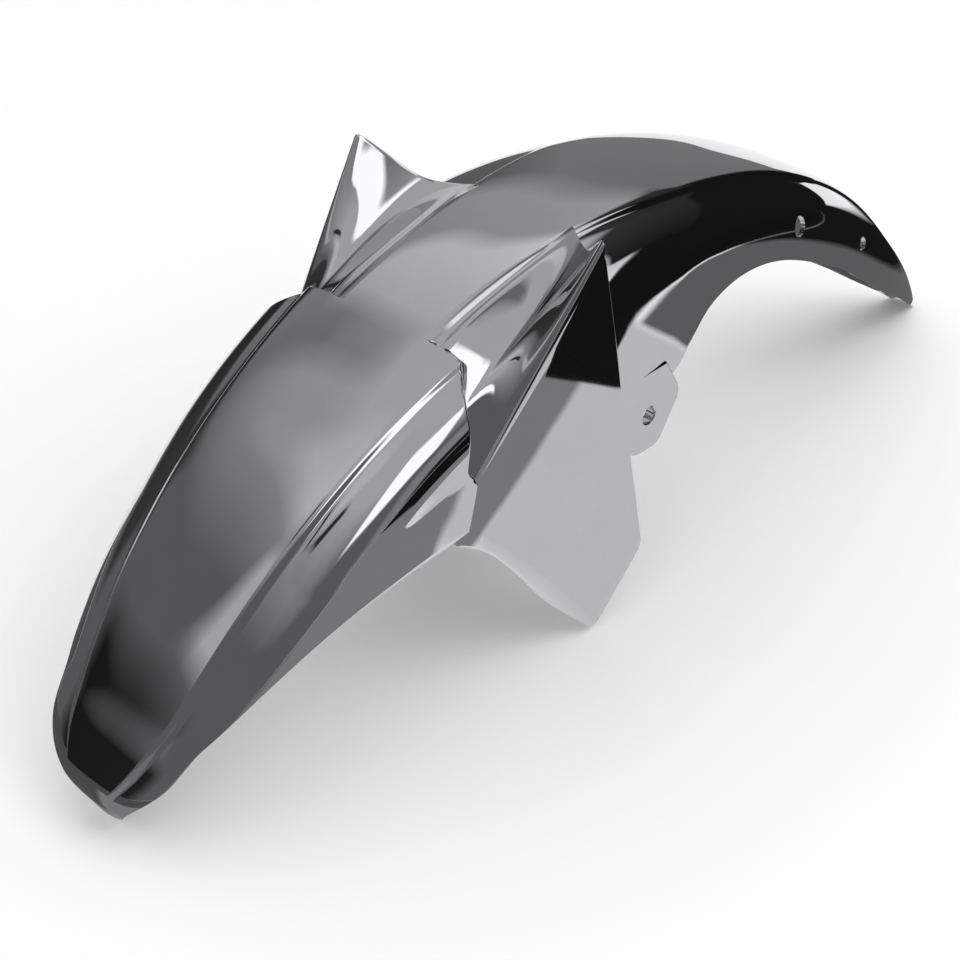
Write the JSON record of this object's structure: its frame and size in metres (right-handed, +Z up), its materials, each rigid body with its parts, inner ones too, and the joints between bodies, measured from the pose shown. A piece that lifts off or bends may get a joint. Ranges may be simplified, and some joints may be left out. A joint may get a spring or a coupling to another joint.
{
  "type": "motorcycle front mudguard",
  "caption": "Chrome-plated front mudguard of a motorcycle: an arched channel over the wheel with a raised crown, pointed side fins with hanging panels, fork lugs and bolt holes.",
  "frame": {"origin": "middle of the underside of the box around the guard, on the plane it lies on", "axes": "+Y along the guard from the nose to the tail, +Z up, +X to the rider's left"},
  "size_m": [0.158, 0.6362, 0.2295],
  "materials": {
    "chrome_plating": "mirror-polished bright plating on a plastic moulding"
  },
  "bodies": {
    "root": {"mudguard": "chrome_plating"}
  },
  "joints": []
}
